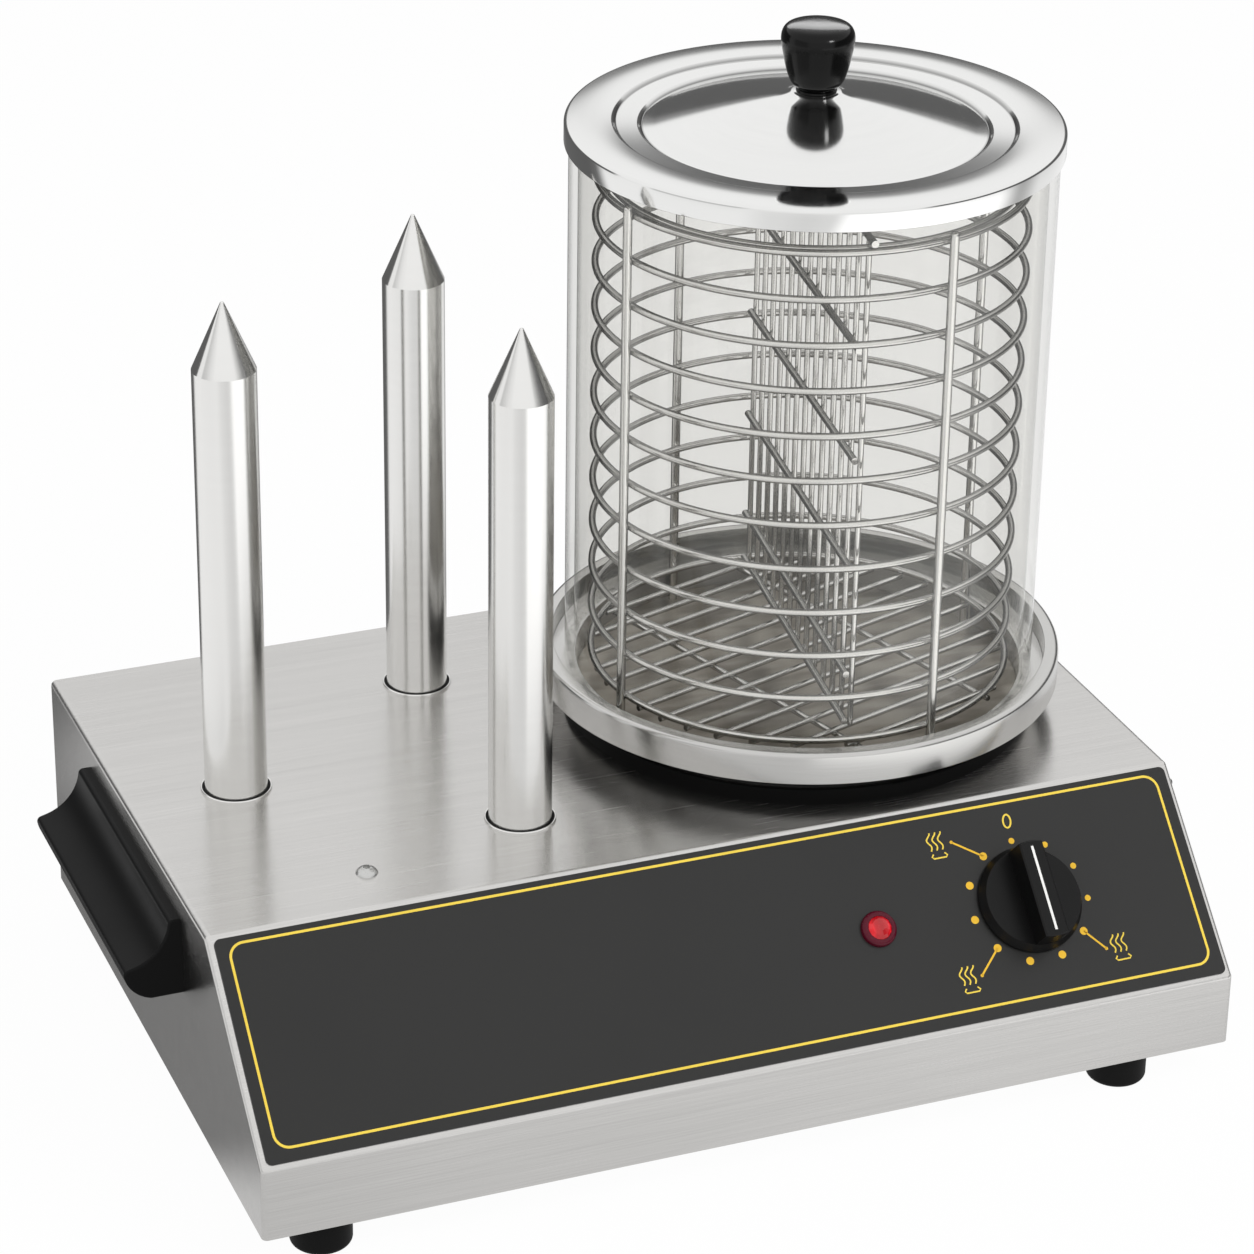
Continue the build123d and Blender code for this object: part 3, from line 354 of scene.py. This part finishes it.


# The pan is bright, and its floor is duller and painted darker in slow waves: painted shade, and a painted
# reflection of the wires over it.
def pan_steel(name, axis):
    paint = new_paint(name)
    spot = paint.round_place(axis, 0.105)
    fine = paint.ring_lines(spot, 30, 3000, detail=3.0, rough=0.6)
    waves = paint.noise(paint.scaled(paint.place(), (22, 60, 10)), detail=2.0)
    floor_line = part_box("water_tank")[0].z + 1.5 * MM
    floor = spot[2] < floor_line
    # Painted shade and a painted reflection on the floor: darker, browner tones in slow waves.
    painted_floor_shade = [(0.35, (0.26, 0.235, 0.20)), (0.55, (0.46, 0.43, 0.38)), (0.70, (0.34, 0.31, 0.27))]
    shade = paint.blend(floor, (0.62, 0.615, 0.60), paint.ramp(waves, painted_floor_shade, "EASE"))
    color = paint.blend(0.90 + fine * 0.12, (0, 0, 0), shade)
    rough = 0.21 + (fine - 0.5) * 0.10 + floor * 0.10
    normal = paint.bump(fine, 0.25, 0.00001)
    return paint.finish(paint.surface(Base_Color=color, Metallic=1.0, Roughness=rough, Normal=normal,
                                      Anisotropic=0.5, Anisotropic_Rotation=0.25))


steel_shade = (0.72, 0.71, 0.695)
lathe_shade = (0.84, 0.835, 0.82)

finishes = {
    "housing": brushed_sheet("brushed_casing", steel_shade, 0.25),
    "rear_panel": brushed_sheet("brushed_back", steel_shade, 0.34),
    "bottom_plate": bright_metal("plain_sheet", (0.42, 0.43, 0.43), 0.42),
    "water_tank": pan_steel("tank_steel", column),
    # The hot plate is painted near black: painted shade under the pan's skirt.
    "hot_plate": bright_metal("plate_in_painted_shade", (0.06, 0.06, 0.06), 0.45),
    "lid": lid_steel("lid_steel", column),
    "glass_cylinder": clear_glass(),
    "control_panel": printed_film("dark_film", (0.017, 0.017, 0.0165), 0.42),
    "pilot_lens": lamp_red(),
    "pilot_bezel": moulding("dark_red_moulding", (0.075, 0.0005, 0.010), 0.22, grain=0.03, coat=0.12),
    "lid_knob": moulding("gloss_black", (0.002, 0.002, 0.002), 0.16, grain=0.0, coat=0.15, shine=0.15),
    "support_collar": moulding("collar_black", (0.003, 0.003, 0.003), 0.6, shine=0.08),
}
wire = drawn_wire("wire_steel", (0.93, 0.925, 0.91), (0.16, 0.155, 0.145), 0.14)
fastener = bright_metal("fastener_steel", (0.62, 0.62, 0.61), 0.28)
galvanised = bright_metal("galvanised_sheet", (0.52, 0.53, 0.54), 0.40, 300.0)
sheath = bright_metal("heater_sheath", (0.20, 0.19, 0.18), 0.45)
handle_black = moulding("handle_black", (0.003, 0.003, 0.0031), 0.40, grain=0.12, shine=0.12)
dial_black = moulding("dial_black", (0.004, 0.004, 0.004), 0.38, grain=0.10, shine=0.22)
rubber = moulding("rubber_black", (0.004, 0.004, 0.004), 0.55, grain=0.2, shine=0.12)
cream = moulding("cream_moulding", (0.62, 0.60, 0.52), 0.5)
dark_moulding = moulding("dark_moulding", (0.03, 0.03, 0.03), 0.5)
white_inlay = moulding("white_inlay", (0.82, 0.82, 0.80), 0.4, grain=0.02)
print_yellow = moulding("print_yellow", (0.84, 0.62, 0.09), 0.5, grain=0.02, shine=0.1)
print_orange = moulding("print_orange", (0.82, 0.50, 0.05), 0.5, grain=0.02, shine=0.1)

shared = {
    wire: ("basket_rings", "basket_posts", "basket_floor", "basket_divider"),
    fastener: ("foot_screws", "case_screws", "regulator_screws", "regulator_shaft", "handle_screws",
               "top_screw", "earth_stud", "clamp_bolt", "lid_screw"),
    galvanised: ("terminal_bracket", "heater_clamp"),
    sheath: ("ring_heater",),
    handle_black: ("handle_left", "handle_right"),
    dial_black: ("control_knob",),
    white_inlay: ("knob_pointer",),
    cream: ("energy_regulator", "terminal_block"),
    dark_moulding: ("pilot_body", "cable_gland", "gland_nut", "limit_thermostat"),
    rubber: ("foot_front_left", "foot_front_right", "foot_rear_left", "foot_rear_right"),
}
for paint_used, names in shared.items():
    for name in names:
        finishes[name] = paint_used
for side in spike_names:
    spike = f"spike_{side}_"
    axis = middle(spike + "tube")
    finishes[spike + "tube"] = turned_steel(spike + "steel", axis, lathe_shade, 0.22, ring=0.013)
    finishes[spike + "tip"] = turned_steel(f"tip_{side}_steel", axis, lathe_shade, 0.15, ring=0.008)
    finishes[spike + "seal"] = rubber
    finishes[spike + "collar"] = fastener
    finishes[spike + "heater"] = sheath
    finishes[spike + "plug"] = cream
for name, node in nodes.items():
    node.data.materials.clear()
    node.data.materials.append(finishes[name])

# A brushed finish turns round the middle of its mesh's texture space. With that middle far behind the casing,
# the finish runs straight along the casing's width.
far_behind = (0, 20, 0)
for name in ("housing", "rear_panel"):
    mesh = nodes[name].data
    mesh.use_auto_texspace = False
    mesh.texspace_location = far_behind
    mesh.texspace_size = (0.5, 0.5, 0.5)


# Printing on the film. Places are millimetres from the dial's centre: to the right, and up the slope.
film_front = 0.6
print_thickness = 0.06


def on_panel(x, up, out=0.0):
    return dial + (panel_right * x + panel_up * up + panel_out * (film_front + out)) * MM


def add_piece(name, mesh, paint, body, smooth=False):
    piece = bpy.data.objects.new(name, mesh)
    bpy.context.scene.collection.objects.link(piece)
    mesh.materials.append(paint)
    for polygon in mesh.polygons:
        polygon.use_smooth = smooth
    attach(piece, body)
    return piece


# A flat printed line of even width through points on the panel, open or closed.
def add_line(mesh, points, width, closed=False):
    count = len(points)
    left, right = [], []
    for i, point in enumerate(points):
        before = points[i - 1] if i or closed else point
        after = points[(i + 1) % count] if i + 1 < count or closed else point
        along = Vector((after[0] - before[0], after[1] - before[1])).normalized()
        side = Vector((-along.y, along.x)) * width / 2
        left.append((point[0] + side.x, point[1] + side.y))
        right.append((point[0] - side.x, point[1] - side.y))
    rows = [[mesh.verts.new(on_panel(*spot, out)) for spot in edge]
            for edge, out in ((left, print_thickness), (right, print_thickness), (right, 0), (left, 0))]
    stretch = range(count if closed else count - 1)
    for a, b in ((0, 1), (1, 2), (3, 0)):
        for i in stretch:
            j = (i + 1) % count
            mesh.faces.new((rows[a][i], rows[b][i], rows[b][j], rows[a][j]))
    if not closed:
        for i in (0, count - 1):
            mesh.faces.new([row[i] for row in rows])


def add_dot(mesh, x, up, radius, sides=28):
    turns = [2 * pi * i / sides for i in range(sides)]
    spots = [(x + radius * cos(turn), up + radius * sin(turn)) for turn in turns]
    top = [mesh.verts.new(on_panel(*spot, print_thickness)) for spot in spots]
    foot = [mesh.verts.new(on_panel(*spot, 0)) for spot in spots]
    mesh.faces.new(top)
    for i in range(sides):
        j = (i + 1) % sides
        mesh.faces.new((top[i], foot[i], foot[j], top[j]))


def rounded_frame(x0, x1, low, high, radius, steps=10):
    corners = ((x1 - radius, low + radius, -90), (x1 - radius, high - radius, 0),
               (x0 + radius, high - radius, 90), (x0 + radius, low + radius, 180))
    spots = []
    for x, up, start in corners:
        for i in range(steps + 1):
            angle = radians(start + 90 * i / steps)
            spots.append((x + radius * cos(angle), up + radius * sin(angle)))
    return spots


def oval(x, up, width, height, lean, steps=40):
    spots = []
    for i in range(steps):
        angle = 2 * pi * i / steps
        rise = height / 2 * sin(angle)
        spots.append((x + width / 2 * cos(angle) + lean * rise, up + rise))
    return spots


# Three rising wavy lines over a small open dish: heat.
def add_heat_sign(mesh, x, up):
    tall, wide, gap, steps = 9.0, 1.1, 2.5, 24
    foot = up - tall / 2
    for k in (-1, 0, 1):
        wave = []
        for i in range(steps + 1):
            t = i / steps
            sway = wide * sin(2.6 * pi * t) * (0.45 + 0.55 * t)
            wave.append((x + k * gap - 0.4 + sway, foot + 1.4 + tall * 0.86 * t))
        add_line(mesh, wave, sign_width)
    dish = [(-2.4, 0), (-3.3, -1.1), (-2.6, -1.9), (2.9, -1.9), (3.6, -1.1), (2.5, 0)]
    add_line(mesh, [(x + across, foot + rise) for across, rise in dish], sign_width)


def print_mesh(name, draw):
    drawing = bmesh.new()
    draw(drawing)
    mesh = bpy.data.meshes.new(name)
    bmesh.ops.recalc_face_normals(drawing, faces=drawing.faces)
    drawing.to_mesh(mesh)
    drawing.free()
    return mesh


# Millimetres on the panel, measured from the casing's left side and from the foot of the slope.
dial_from_left = 340.5
dial_up_slope = 47.7
border_corners = ((8.0, 7.5), (412.0, 90.5))
leads = {4: (367.8, 21.7), 7: (310.9, 20.7), 10: (314.3, 77.8)}
heat_signs = ((374.0, 22.3), (305.0, 21.0), (307.6, 78.6))
zero_place = (341.0, 82.3)

# Sizes of the print in millimetres, and the dial's step in degrees.
border_radius = 6.0
border_width = 1.05
dial_step = 32.7
dot_count = 11
dot_ring = 26.0
small_dot = 1.3
large_dot = 1.7
first_large_dot = 4
lead_width = 0.8
lead_end = 0.7
sign_width = 0.62
zero_size = (3.4, 5.6)
zero_lean = 0.12
zero_width = 0.75


def from_dial(x, up):
    return x - dial_from_left, up - dial_up_slope


def draw_frame(mesh):
    (x0, low), (x1, high) = (from_dial(*corner) for corner in border_corners)
    add_line(mesh, rounded_frame(x0, x1, low, high, border_radius), border_width, closed=True)


def dot_place(step):
    angle = radians(dial_step * step)
    return dot_ring * sin(angle), dot_ring * cos(angle)


def draw_dots(mesh):
    for step in range(dot_count):
        add_dot(mesh, *dot_place(step), small_dot if step < first_large_dot else large_dot)
    for step, end in leads.items():
        add_line(mesh, [dot_place(step), from_dial(*end)], lead_width)
        add_dot(mesh, *from_dial(*end), lead_end)


def draw_signs(mesh):
    for spot in heat_signs:
        add_heat_sign(mesh, *from_dial(*spot))
    add_line(mesh, oval(*from_dial(*zero_place), *zero_size, zero_lean), zero_width, closed=True)


add_piece("panel_border", print_mesh("panel_border", draw_frame), print_yellow, "base")
add_piece("dial_dots", print_mesh("dial_dots", draw_dots), print_orange, "base")
add_piece("dial_signs", print_mesh("dial_signs", draw_signs), print_yellow, "base")


# A turned section's lengths are metres. What lies this close to the axis is on it.
on_axis = 1e-9
same_point = 1e-7


# A section with its corners cut back and rounded off, apart from nearly straight ones and those on the axis.
def softened(section, cut, steps=3):
    nearly_straight, most_of_side = radians(172), 0.4
    made = []
    for i, corner in enumerate(section):
        corner = Vector(corner)
        before, after = Vector(section[i - 1]) - corner, Vector(section[(i + 1) % len(section)]) - corner
        if corner.x < on_axis or before.angle(after) > nearly_straight:
            made.append(tuple(corner))
            continue
        start = corner + before.normalized() * min(cut, before.length * most_of_side)
        end = corner + after.normalized() * min(cut, after.length * most_of_side)
        for k in range(steps + 1):
            t = k / steps
            made.append(tuple(start * (1 - t) ** 2 + corner * 2 * t * (1 - t) + end * t ** 2))
    return made


# A closed solid turned round an upright axis from a section given as (radius, height) in metres.
def turned_mesh(name, axis, section, sides=96, crease=25.0):
    mesh = bmesh.new()
    rings = []
    for i in range(sides):
        turn = 2 * pi * i / sides
        east, north = cos(turn), sin(turn)
        rings.append([mesh.verts.new((axis.x + r * east, axis.y + r * north, z)) for r, z in section])
    count = len(section)
    for i in range(sides):
        here, there = rings[i], rings[(i + 1) % sides]
        for k in range(count):
            m = (k + 1) % count
            if section[k][0] > on_axis or section[m][0] > on_axis:
                mesh.faces.new((here[k], there[k], there[m], here[m]))
    bmesh.ops.remove_doubles(mesh, verts=mesh.verts, dist=same_point)
    bmesh.ops.recalc_face_normals(mesh, faces=mesh.faces)
    made = bpy.data.meshes.new(name)
    mesh.to_mesh(made)
    mesh.free()
    made.set_sharp_from_angle(angle=radians(crease))
    return made


def arc(middle_r, middle_z, radius, start, end, steps=8):
    spots = []
    for i in range(steps + 1):
        angle = radians(start + (end - start) * i / steps)
        spots.append((middle_r + radius * cos(angle), middle_z + radius * sin(angle)))
    return spots


# Points on a shallow curve whose middle stands off its chord.
def bowed(start, end, rise, steps=10):
    a, b = Vector(start), Vector(end)
    out = Vector((b.y - a.y, a.x - b.x)).normalized()
    shares = [i / steps for i in range(1, steps)]
    return [tuple(a.lerp(b, t) + out * rise * 4 * t * (1 - t)) for t in shares]


# The lid's section in millimetres: the upper face from the hole to the skirt, and the same one sheet lower.
def lid_section():
    low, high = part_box("lid")
    rim, skirt_end = (high.x - low.x) / 2 / MM, low.z / MM
    sheet, bend, swell, hollow = 0.8, 1.6, 0.35, -0.5
    hole, crown, flare, dome, ledge_start, ledge_end, band = 2.6, 10.2, 16.5, 70.5, 72.1, 81.0, 82.6
    top = skirt_end + 9.0
    ledge_height, dome_foot, crown_height = top - 1.5, top - 3.0, top + 13.0
    flare_height = dome_foot + 13.2

    def face(drop):
        start, turn = (crown, crown_height - drop), (flare, flare_height - drop)
        foot = (dome, dome_foot - drop)
        return [(hole, crown_height - drop), start, *bowed(start, turn, swell, 6), turn,
                *bowed(turn, foot, hollow), foot, (ledge_start, ledge_height - drop),
                (ledge_end, ledge_height - drop), (band, top - drop),
                *arc(rim - bend, top - bend, bend - drop, 90, 0)]

    return face(0) + [(rim, skirt_end), (rim - sheet, skirt_end)] + face(sheet)[::-1]


# The water pan's section in millimetres: floor, well, ledge, upstand, flat rim and skirt.
def pan_section():
    low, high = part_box("water_tank")
    rim, foot, top = (high.x - low.x) / 2 / MM, low.z / MM, high.z / MM
    sheet, well, ledge, bend, skirt = 0.8, 96.0, 105.5, 2.2, 14.0
    under_ledge = foot + 12.6
    over_ledge = under_ledge + sheet
    return [(0, foot), (well, foot), (well, under_ledge), (ledge + sheet, under_ledge),
            (ledge + sheet, top - sheet), *arc(rim - bend, top - bend, bend - sheet, 90, 0),
            (rim - sheet, top - skirt), (rim, top - skirt), *arc(rim - bend, top - bend, bend, 0, 90),
            (ledge, top), (ledge, over_ledge), (well - sheet, over_ledge), (well - sheet, foot + sheet),
            (0, foot + sheet)]


def metres(section):
    return [(r * MM, z * MM) for r, z in section]


pressed_edge = 0.35 * MM
for name, section, body in (("lid", lid_section(), "lid"), ("water_tank", pan_section(), "tank")):
    mesh = turned_mesh(name + "_spun", column, softened(metres(section), pressed_edge), sides=288)
    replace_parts(add_piece(name + "_spun", mesh, finishes[name], body, smooth=True), name)


# The lid knob's outline from its collar to its crown, in millimetres from its axis and over its foot.
knob_outline = [(8.0, 1.2), (10.6, 3.9), (12.2, 7.8), (13.3, 12.0), (14.1, 16.0), (14.75, 19.6), (15.0, 22.3),
                (14.5, 24.9), (13.1, 26.85), (10.6, 27.85), (6.0, 28.45), (0.0, 28.6)]


# A smooth curve through points, each stretch in several steps.
def through(points, steps=6):
    ends = [points[0]] + points + [points[-1]]
    made = []
    for a, b, c, d in zip(ends, ends[1:], ends[2:], ends[3:]):
        for k in range(steps):
            t = k / steps
            made.append(tuple(0.5 * (2 * q + (r - p) * t + (2 * p - 5 * q + 4 * r - s) * t ** 2
                                     + (3 * q - p - 3 * r + s) * t ** 3) for p, q, r, s in zip(a, b, c, d)))
    return made + [points[-1]]


def knob_mesh():
    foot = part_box("lid_knob")[0].z / MM
    radius, height, edge = 8.4, 1.2, 0.2
    collar = [(0.0, 0.0), (radius - edge, 0.0), (radius, edge), (radius, height - edge),
              (radius - edge, height)]
    section = [(r, z + foot) for r, z in collar + through(knob_outline)]
    return turned_mesh("lid_knob_spun", column, metres(section), sides=128, crease=40.0)


lid_handle = add_piece("lid_knob_spun", knob_mesh(), finishes["lid_knob"], "lid", smooth=True)
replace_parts(lid_handle, "lid_knob")


# The pilot lamp's lens: a shallow dome cut into twelve facets, in millimetres from its axis and along it.
lens_outline = [(0, -9.0), (4.95, -9.0), (4.95, 3.0), (3.7, 4.4), (1.7, 5.1), (0, 5.2)]


def lens_mesh():
    mesh = turned_mesh("lens_facets", Vector((0, 0, 0)), metres(lens_outline), sides=12, crease=5.0)
    mesh.transform(Matrix((panel_right, panel_up, panel_out)).transposed().to_4x4())
    mesh.transform(Matrix.Translation(lamp_spot))
    return mesh


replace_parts(add_piece("lens_facets", lens_mesh(), finishes["pilot_lens"], "base"), "pilot_lens")

# A thin steel lip round the foot of each spike, with a dark gap inside it.
edge_steel = bright_metal("lip_steel", lathe_shade, 0.22)
lip_inside = 1.05 * MM
lip_outside = 1.75 * MM
lip_stand = 0.2 * MM
inner_bevel = 0.15 * MM
outer_bevel = (0.2 * MM, 0.3 * MM)
for side in spike_names:
    low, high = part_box(f"spike_{side}_seal")
    axis = (low + high) / 2
    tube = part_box(f"spike_{side}_tube")[1].x - axis.x
    inner, outer, lip = tube + lip_inside, tube + lip_outside, high.z + lip_stand
    section = [(outer, top_plate), (outer, lip - outer_bevel[1]), (outer - outer_bevel[0], lip),
               (inner + inner_bevel, lip), (inner, lip - inner_bevel), (inner, top_plate)]
    mesh = turned_mesh(f"spike_{side}_lip", axis, section)
    add_piece(f"spike_{side}_lip", mesh, edge_steel, "base", smooth=True)


# Studio. Bright and dark strips stand round the machine and show only in its reflections.
heading = atan2(-cos(radians(view_azimuth)), -sin(radians(view_azimuth)))


def strip_stops(strips):
    return [(0.5 + degrees_round / 360, shade) for degrees_round, shade in strips]


def around_view(paint, x, y):
    turn = (paint.maths("ARCTAN2", y, x) - heading) / (2 * pi) + 0.5
    return paint.maths("FRACT", turn + 1.0)


low_strips = [(-180, 0.30), (-160, 0.13), (-128, 0.12), (-120, 0.15), (-110, 0.98), (-34, 0.98),
              (-15, 0.84), (0, 0.78), (10, 0.82), (20, 1.35), (60, 1.45), (88, 1.30), (104, 0.50),
              (120, 0.90), (150, 0.95), (180, 0.30)]
close_strips = [(-180, 0.25), (-125, 0.20), (-54, 0.24), (-42, 0.70), (0, 0.78), (60, 0.85), (110, 0.60),
                (180, 0.20)]
far_strips = [(-180, 0.12), (-112, 0.12), (-103, 0.14), (-98, 0.95), (-80, 0.95), (-76, 0.62),
              (-36, 0.60), (-28, 0.92), (44, 0.92), (56, 0.14), (115, 0.12), (180, 0.12)]


def build_world():
    world = bpy.data.worlds.new("studio")
    bpy.context.scene.world = world
    paint = Paint(world)
    x, y, z = paint.split(paint.node("TexCoord", out="Generated"))
    low = paint.ramp(around_view(paint, x, y), strip_stops(far_strips), "EASE")
    rise = paint.ramp(z, [(0.24, 0.0), (0.30, 0.18), (0.34, 1.0)], "EASE")
    shine = paint.blend(rise, low, (1.0, 1.0, 1.0))
    seen, glossy = paint.rays()
    lit = paint.blend(glossy, (0.62, 0.62, 0.62), shine)
    color = paint.blend(seen, lit, (1.0, 1.0, 1.0))
    return paint.finish(paint.node("Background", None, {"Color": color, "Strength": 1.0}))


def build_floor():
    bpy.ops.mesh.primitive_plane_add(size=60, location=(0, 0, 0))
    floor = bpy.context.object
    floor.name = "floor"
    paint = new_paint("white_floor")
    x, y, _ = paint.split(paint.place())
    near = paint.ramp(around_view(paint, x, y), strip_stops(low_strips), "EASE")
    far = paint.ramp(around_view(paint, x, y), strip_stops(far_strips), "EASE")
    beside = paint.ramp(around_view(paint, x, y), strip_stops(close_strips), "EASE")
    distance = paint.maths("SQRT", x * x + y * y)
    near = paint.blend(paint.ramp(distance, [(0.33, 0.0), (0.45, 1.0)], "EASE"), beside, near)
    reach = paint.ramp(distance / 4, [(0.25, 0.0), (0.6, 1.0)], "EASE")
    shine = paint.node("Emission", None, {"Color": paint.blend(reach, near, far), "Strength": 1.0})
    white = paint.node("Emission", None, {"Color": (1, 1, 1), "Strength": 1.0})
    chalk = paint.node("BsdfDiffuse", None, {"Color": (0.86, 0.86, 0.86)})
    seen, glossy = paint.rays()
    shown = paint.node("MixShader", None, {0: seen * 0.97, 1: chalk, 2: white})
    floor.data.materials.append(paint.finish(paint.node("MixShader", None, {0: glossy, 1: shown, 2: shine})))
    floor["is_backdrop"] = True


def add_lamp(name, place, target, size, power, shines=False, only=()):
    lamp = bpy.data.lights.new(name, "AREA")
    lamp.shape = "RECTANGLE"
    lamp.size, lamp.size_y = size
    lamp.energy = power
    holder = bpy.data.objects.new(name, lamp)
    bpy.context.scene.collection.objects.link(holder)
    holder.location = place
    holder.rotation_euler = (Vector(target) - Vector(place)).to_track_quat("-Z", "Y").to_euler()
    holder.visible_glossy = shines
    holder.visible_camera = False
    holder.visible_transmission = False
    if only:
        lit = bpy.data.collections.new(name + "_receivers")
        for piece in only:
            lit.objects.link(piece)
        holder.light_linking.receiver_collection = lit


def build_camera():
    az, el, roll = radians(view_azimuth), radians(view_elevation), radians(view_roll)
    back = Vector((-sin(az) * cos(el), -cos(az) * cos(el), sin(el)))
    side = Vector((cos(az), -sin(az), 0))
    up = back.cross(side)
    right = side * cos(roll) + up * sin(roll)
    top = up * cos(roll) - side * sin(roll)
    camera = bpy.data.cameras.new("camera")
    camera.lens = view_lens
    camera.sensor_width = sensor
    camera.clip_end = 100
    holder = bpy.data.objects.new("camera", camera)
    bpy.context.scene.collection.objects.link(holder)
    holder.matrix_world = Matrix.Translation(view_target + back * view_distance) @ Matrix(
        (right, top, back)).transposed().to_4x4()
    bpy.context.scene.camera = holder


build_world()
build_floor()
body_aim = (0, 0, 0.15)
knob_aim = (0.09, 0.02, 0.41)
add_lamp("key", (1.1, -1.3, 1.7), body_aim, (1.2, 1.2), 26)
add_lamp("fill", (-1.6, -0.9, 0.9), body_aim, (1.2, 1.2), 9)
add_lamp("window", (0.55, -1.2, 1.05), knob_aim, (0.30, 0.22), 5.0, shines=True, only=(lid_handle,))
add_lamp("sky_card", (0.72, 1.56, 1.20), knob_aim, (1.6, 0.5), 9.0, shines=True, only=(lid_handle,))
build_camera()

scene = bpy.context.scene
scene.view_settings.view_transform = "Standard"

low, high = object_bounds()
